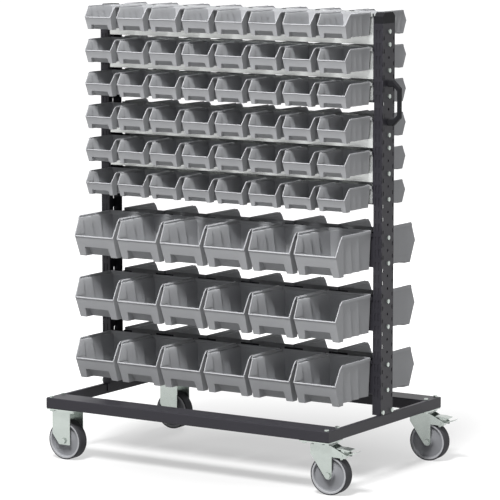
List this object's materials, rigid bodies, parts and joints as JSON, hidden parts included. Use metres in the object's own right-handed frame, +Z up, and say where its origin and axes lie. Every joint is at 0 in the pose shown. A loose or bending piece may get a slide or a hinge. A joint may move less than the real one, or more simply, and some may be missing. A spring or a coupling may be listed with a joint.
{
  "type": "picking bin trolley",
  "caption": "Double-sided wheeled rack of open-fronted picking bins on louvred panels and rails, with a push handle and two braked swivel casters.",
  "frame": {"origin": "on the floor, under the middle of the whole trolley's box", "axes": "+X along the trolley towards the push handle, +Y from the front to the rear, +Z up"},
  "size_m": [1.1521, 0.7, 1.4588],
  "materials": {
    "grey_steel": "satin powder coat",
    "light_sheet": "satin powder coat",
    "zinc_steel": "bright zinc plate",
    "bin_plastic": "matt moulded",
    "black_plastic": "matt moulded",
    "hub_plastic": "satin moulded",
    "tyre_rubber": "matt"
  },
  "bodies": {
    "base": {"front_beam": "grey_steel", "rear_beam": "grey_steel", "beam_end_caps": "grey_steel", "foot_brackets": "grey_steel", "foot_bolts": "zinc_steel", "left_end_beam": "grey_steel", "left_upright": "grey_steel", "left_cap": "black_plastic", "right_end_beam": "grey_steel", "right_upright": "grey_steel", "right_cap": "black_plastic", "lower_front_panel": "light_sheet", "lower_rear_panel": "light_sheet", "upper_front_panel": "light_sheet", "upper_rear_panel": "light_sheet", "front_rails": "grey_steel", "rear_rails": "grey_steel", "rack_bolts": "zinc_steel", "handle": "black_plastic", "handle_screws": "zinc_steel", "caster_bolts": "zinc_steel", "front_swivel_plate": "zinc_steel", "front_fixed_bracket": "zinc_steel", "front_fixed_axle": "zinc_steel", "rear_swivel_plate": "zinc_steel", "rear_fixed_bracket": "zinc_steel", "rear_fixed_axle": "zinc_steel"},
    "front_swivel": {"front_swivel_fork": "zinc_steel", "front_swivel_axle": "zinc_steel"},
    "front_swivel_wheel": {"front_swivel_hub": "hub_plastic", "front_swivel_tyre": "tyre_rubber"},
    "front_pedal": {"front_brake_pedal": "zinc_steel"},
    "front_fixed_wheel": {"front_fixed_hub": "hub_plastic", "front_fixed_tyre": "tyre_rubber"},
    "rear_swivel": {"rear_swivel_fork": "zinc_steel", "rear_swivel_axle": "zinc_steel"},
    "rear_swivel_wheel": {"rear_swivel_hub": "hub_plastic", "rear_swivel_tyre": "tyre_rubber"},
    "rear_pedal": {"rear_brake_pedal": "zinc_steel"},
    "rear_fixed_wheel": {"rear_fixed_hub": "hub_plastic", "rear_fixed_tyre": "tyre_rubber"},
    "front_bins_row_1": {"front_bins_row_1": "bin_plastic"},
    "front_bins_row_2": {"front_bins_row_2": "bin_plastic"},
    "front_bins_row_3": {"front_bins_row_3": "bin_plastic"},
    "front_bins_row_4": {"front_bins_row_4": "bin_plastic"},
    "front_bins_row_5": {"front_bins_row_5": "bin_plastic"},
    "front_bins_row_6": {"front_bins_row_6": "bin_plastic"},
    "front_bins_row_7": {"front_bins_row_7": "bin_plastic"},
    "front_bins_row_8": {"front_bins_row_8": "bin_plastic"},
    "front_bins_row_9": {"front_bins_row_9": "bin_plastic"},
    "rear_bins_row_1": {"rear_bins_row_1": "bin_plastic"},
    "rear_bins_row_2": {"rear_bins_row_2": "bin_plastic"},
    "rear_bins_row_3": {"rear_bins_row_3": "bin_plastic"},
    "rear_bins_row_4": {"rear_bins_row_4": "bin_plastic"},
    "rear_bins_row_5": {"rear_bins_row_5": "bin_plastic"},
    "rear_bins_row_6": {"rear_bins_row_6": "bin_plastic"},
    "rear_bins_row_7": {"rear_bins_row_7": "bin_plastic"},
    "rear_bins_row_8": {"rear_bins_row_8": "bin_plastic"},
    "rear_bins_row_9": {"rear_bins_row_9": "bin_plastic"}
  },
  "joints": [
    {"name": "front_swivel", "type": "hinge", "parent": "base", "child": "front_swivel", "pos_m": [0.44444, -0.3075, 0.1557], "axis": [0, 0, 1], "continuous": true},
    {"name": "front_swivel_wheel", "type": "hinge", "parent": "front_swivel", "child": "front_swivel_wheel", "pos_m": [0.48083, -0.30464, 0.0625], "axis": [-0.0785, 0.9969, 0], "continuous": true},
    {"name": "front_brake", "type": "hinge", "parent": "front_swivel", "child": "front_pedal", "pos_m": [0.52818, -0.30091, 0.127], "axis": [-0.0785, 0.9969, 0], "range_deg": [0, 7]},
    {"name": "front_fixed_wheel", "type": "hinge", "parent": "base", "child": "front_fixed_wheel", "pos_m": [-0.51356, -0.3075, 0.0625], "axis": [0, 1, 0], "continuous": true},
    {"name": "rear_swivel", "type": "hinge", "parent": "base", "child": "rear_swivel", "pos_m": [0.44444, 0.3075, 0.1557], "axis": [0, 0, 1], "continuous": true},
    {"name": "rear_swivel_wheel", "type": "hinge", "parent": "rear_swivel", "child": "rear_swivel_wheel", "pos_m": [0.48083, 0.31036, 0.0625], "axis": [-0.0785, 0.9969, 0], "continuous": true},
    {"name": "rear_brake", "type": "hinge", "parent": "rear_swivel", "child": "rear_pedal", "pos_m": [0.52818, 0.31409, 0.127], "axis": [-0.0785, 0.9969, 0], "range_deg": [0, 7]},
    {"name": "rear_fixed_wheel", "type": "hinge", "parent": "base", "child": "rear_fixed_wheel", "pos_m": [-0.51356, 0.3075, 0.0625], "axis": [0, 1, 0], "continuous": true},
    {"name": "front_row_1_lift", "type": "slide", "parent": "base", "child": "front_bins_row_1", "axis": [0, 0, 1], "range_m": [0, 0.02]},
    {"name": "front_row_2_lift", "type": "slide", "parent": "base", "child": "front_bins_row_2", "axis": [0, 0, 1], "range_m": [0, 0.02]},
    {"name": "front_row_3_lift", "type": "slide", "parent": "base", "child": "front_bins_row_3", "axis": [0, 0, 1], "range_m": [0, 0.02]},
    {"name": "front_row_4_lift", "type": "slide", "parent": "base", "child": "front_bins_row_4", "axis": [0, 0, 1], "range_m": [0, 0.02]},
    {"name": "front_row_5_lift", "type": "slide", "parent": "base", "child": "front_bins_row_5", "axis": [0, 0, 1], "range_m": [0, 0.02]},
    {"name": "front_row_6_lift", "type": "slide", "parent": "base", "child": "front_bins_row_6", "axis": [0, 0, 1], "range_m": [0, 0.02]},
    {"name": "front_row_7_lift", "type": "slide", "parent": "base", "child": "front_bins_row_7", "axis": [0, 0, 1], "range_m": [0, 0.02]},
    {"name": "front_row_8_lift", "type": "slide", "parent": "base", "child": "front_bins_row_8", "axis": [0, 0, 1], "range_m": [0, 0.02]},
    {"name": "front_row_9_lift", "type": "slide", "parent": "base", "child": "front_bins_row_9", "axis": [0, 0, 1], "range_m": [0, 0.02]},
    {"name": "rear_row_1_lift", "type": "slide", "parent": "base", "child": "rear_bins_row_1", "axis": [0, 0, 1], "range_m": [0, 0.02]},
    {"name": "rear_row_2_lift", "type": "slide", "parent": "base", "child": "rear_bins_row_2", "axis": [0, 0, 1], "range_m": [0, 0.02]},
    {"name": "rear_row_3_lift", "type": "slide", "parent": "base", "child": "rear_bins_row_3", "axis": [0, 0, 1], "range_m": [0, 0.02]},
    {"name": "rear_row_4_lift", "type": "slide", "parent": "base", "child": "rear_bins_row_4", "axis": [0, 0, 1], "range_m": [0, 0.02]},
    {"name": "rear_row_5_lift", "type": "slide", "parent": "base", "child": "rear_bins_row_5", "axis": [0, 0, 1], "range_m": [0, 0.02]},
    {"name": "rear_row_6_lift", "type": "slide", "parent": "base", "child": "rear_bins_row_6", "axis": [0, 0, 1], "range_m": [0, 0.02]},
    {"name": "rear_row_7_lift", "type": "slide", "parent": "base", "child": "rear_bins_row_7", "axis": [0, 0, 1], "range_m": [0, 0.02]},
    {"name": "rear_row_8_lift", "type": "slide", "parent": "base", "child": "rear_bins_row_8", "axis": [0, 0, 1], "range_m": [0, 0.02]},
    {"name": "rear_row_9_lift", "type": "slide", "parent": "base", "child": "rear_bins_row_9", "axis": [0, 0, 1], "range_m": [0, 0.02]}
  ]
}
